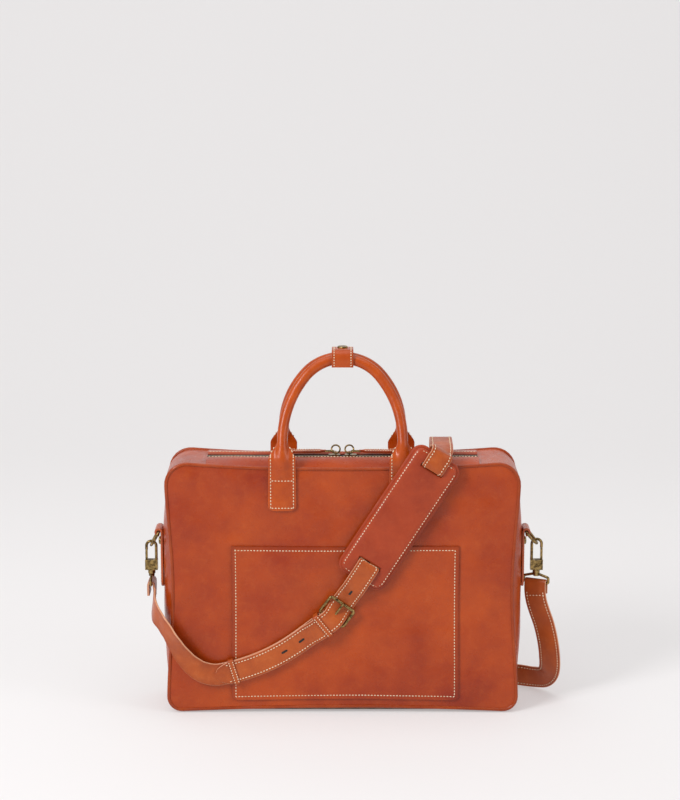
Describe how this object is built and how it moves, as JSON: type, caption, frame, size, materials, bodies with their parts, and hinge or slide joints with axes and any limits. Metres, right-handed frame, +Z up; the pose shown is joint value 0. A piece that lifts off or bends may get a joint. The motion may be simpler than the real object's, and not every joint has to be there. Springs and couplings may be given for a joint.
{
  "type": "leather briefcase",
  "caption": "Soft zipped leather briefcase with rolled handles, a front pocket, clip-on shoulder strap with buckle and sliding pad.",
  "frame": {"origin": "middle of the underside of the case", "axes": "+X along the case to the right seen from the front, -Y out of the front face, +Z up"},
  "size_m": [0.4667, 0.1322, 0.4071],
  "materials": {
    "leather_tan": "satin",
    "leather_strap": "satin",
    "lining_cloth": "matte",
    "board": "matte",
    "antique_brass": "satin",
    "zip_tape": "matte",
    "zip_metal": "satin",
    "padding": "matte"
  },
  "bodies": {
    "case": {"front_panel": "leather_tan", "back_panel": "leather_tan", "front_piping": "leather_tan", "back_piping": "leather_tan", "side_bottom_gusset": "leather_tan", "lining": "lining_cloth", "base_board": "board", "laptop_divider": "padding", "front_pocket": "leather_tan", "front_left_handle_tab": "leather_tan", "front_right_handle_tab": "leather_tan", "rear_left_handle_tab": "leather_tan", "rear_right_handle_tab": "leather_tan", "left_chape": "leather_tan", "right_chape": "leather_tan", "left_chape_rivet": "antique_brass", "right_chape_rivet": "antique_brass", "strap_long": "leather_strap", "strap_short": "leather_strap", "buckle_frame": "antique_brass", "fixed_keeper": "leather_strap"},
    "front_strip": {"zip_strip_front": "leather_tan", "zip_tape_front": "zip_tape", "zip_teeth_front": "zip_metal"},
    "rear_strip": {"zip_strip_rear": "leather_tan", "zip_tape_rear": "zip_tape", "zip_teeth_rear": "zip_metal"},
    "left_slider": {"left_slider": "antique_brass"},
    "right_slider": {"right_slider": "antique_brass"},
    "left_pull": {"left_pull_ring": "antique_brass", "left_pull_link": "antique_brass", "left_pull_tab": "leather_tan"},
    "right_pull": {"right_pull_ring": "antique_brass", "right_pull_link": "antique_brass", "right_pull_tab": "leather_tan"},
    "front_handle": {"front_handle": "leather_tan"},
    "rear_handle": {"rear_handle": "leather_tan", "handle_wrap": "leather_tan", "snap_stud": "antique_brass"},
    "wrap_flap": {"wrap_flap": "leather_tan", "snap_cap": "antique_brass"},
    "left_d_ring": {"left_d_ring": "antique_brass"},
    "right_d_ring": {"right_d_ring": "antique_brass"},
    "left_hook_eye": {"left_hook_eye": "antique_brass"},
    "right_hook_eye": {"right_hook_eye": "antique_brass"},
    "left_hook": {"left_hook": "antique_brass", "left_gate_rivet": "antique_brass"},
    "right_hook": {"right_hook": "antique_brass", "right_gate_rivet": "antique_brass"},
    "left_gate": {"left_gate": "antique_brass"},
    "right_gate": {"right_gate": "antique_brass"},
    "buckle_tongue": {"buckle_tongue": "antique_brass"},
    "sliding_keeper": {"sliding_keeper": "leather_strap"},
    "shoulder_pad": {"shoulder_pad_base": "leather_strap", "shoulder_pad_top": "leather_strap"}
  },
  "joints": [
    {"name": "front_strip_lift", "type": "hinge", "parent": "case", "child": "front_strip", "pos_m": [0, -0.0369, 0.286], "axis": [1, 0, 0], "range_deg": [0, 45], "deforming": ["zip_tape_front", "zip_tape_rear", "zip_teeth_front", "zip_teeth_rear", "strap_long"]},
    {"name": "rear_strip_lift", "type": "hinge", "parent": "case", "child": "rear_strip", "pos_m": [0, 0.0369, 0.286], "axis": [1, 0, 0], "range_deg": [-45.5, 0], "deforming": ["zip_tape_front", "zip_tape_rear", "zip_teeth_front", "zip_teeth_rear", "strap_long"]},
    {"name": "left_slider_run", "type": "slide", "parent": "case", "child": "left_slider", "axis": [-1, 0, 0], "range_m": [0, 0.121], "deforming": ["zip_tape_front", "zip_tape_rear", "zip_teeth_front", "zip_teeth_rear", "strap_long"]},
    {"name": "right_slider_run", "type": "slide", "parent": "case", "child": "right_slider", "axis": [1, 0, 0], "range_m": [0, 0.121], "deforming": ["zip_tape_front", "zip_tape_rear", "zip_teeth_front", "zip_teeth_rear", "strap_long"]},
    {"name": "left_pull_turn", "type": "hinge", "parent": "left_slider", "child": "left_pull", "pos_m": [-0.0075, 0.00235, 0.29142], "axis": [0, -0.866, 0.5], "range_deg": [-90, 0]},
    {"name": "right_pull_turn", "type": "hinge", "parent": "right_slider", "child": "right_pull", "pos_m": [0.0075, 0.00235, 0.29142], "axis": [0, 0.866, -0.5], "range_deg": [-90, 0]},
    {"name": "front_handle_swing", "type": "hinge", "parent": "case", "child": "front_handle", "pos_m": [0, -0.0424, 0.2905], "axis": [1, 0, 0], "range_deg": [0, 28], "deforming": ["wrap_flap"]},
    {"name": "rear_handle_swing", "type": "hinge", "parent": "case", "child": "rear_handle", "pos_m": [0, 0.0424, 0.2905], "axis": [-1, 0, 0], "range_deg": [0, 105], "deforming": ["wrap_flap"]},
    {"name": "wrap_flap_open", "type": "hinge", "parent": "rear_handle", "child": "wrap_flap", "pos_m": [0, 0.01505, 0.40008], "axis": [-1, 0, 0], "range_deg": [0, 110]},
    {"name": "left_d_ring_swing", "type": "hinge", "parent": "case", "child": "left_d_ring", "pos_m": [-0.2039, 0, 0.2], "axis": [0, 1, 0], "range_deg": [-3, 3]},
    {"name": "left_eye_swing", "type": "hinge", "parent": "case", "child": "left_hook_eye", "pos_m": [-0.21326, 0, 0.1395], "axis": [0, -1, 0], "range_deg": [-1.5, 1.5]},
    {"name": "left_hook_swivel", "type": "hinge", "parent": "left_hook_eye", "child": "left_hook", "pos_m": [-0.21326, 0, 0.15], "axis": [0, 0, 1], "range_deg": [-12, 12]},
    {"name": "left_gate_open", "type": "hinge", "parent": "left_hook", "child": "left_gate", "pos_m": [-0.21526, 0, 0.1585], "axis": [0, 1, 0], "range_deg": [0, 18], "stiffness_Nm_per_rad": 0.02, "springref_deg": -11.46},
    {"name": "right_d_ring_swing", "type": "hinge", "parent": "case", "child": "right_d_ring", "pos_m": [0.2039, 0, 0.2], "axis": [0, 1, 0], "range_deg": [-3, 3]},
    {"name": "right_eye_swing", "type": "hinge", "parent": "case", "child": "right_hook_eye", "pos_m": [0.21656, 0, 0.1395], "axis": [0.9063, -0.4226, 0], "range_deg": [-1, 0.5]},
    {"name": "right_hook_swivel", "type": "hinge", "parent": "right_hook_eye", "child": "right_hook", "pos_m": [0.21656, 0, 0.15], "axis": [0, 0, 1], "range_deg": [-12, 12]},
    {"name": "right_gate_open", "type": "hinge", "parent": "right_hook", "child": "right_gate", "pos_m": [0.21856, 0, 0.1585], "axis": [0, -1, 0], "range_deg": [0, 18], "stiffness_Nm_per_rad": 0.02, "springref_deg": -11.46},
    {"name": "buckle_tongue_lift", "type": "hinge", "parent": "case", "child": "buckle_tongue", "pos_m": [-0.0126, -0.04865, 0.111], "axis": [0.8181, 0, -0.5751], "range_deg": [0, 8]},
    {"name": "shoulder_pad_slide", "type": "slide", "parent": "case", "child": "shoulder_pad", "axis": [0.5388, 0, 0.8425], "range_m": [-0.008, 0.003], "deforming": ["strap_long"]},
    {"name": "sliding_keeper_slide", "type": "slide", "parent": "case", "child": "sliding_keeper", "axis": [-0.957, 0, -0.29], "range_m": [-0.006, 0.006]}
  ],
  "couplings": [
    {"joint": "rear_strip_lift", "follows": "front_strip_lift", "ratio": -1},
    {"joint": "left_slider_run", "follows": "front_strip_lift", "m_per_rad": 0.15279},
    {"joint": "right_slider_run", "follows": "front_strip_lift", "m_per_rad": 0.15279}
  ]
}
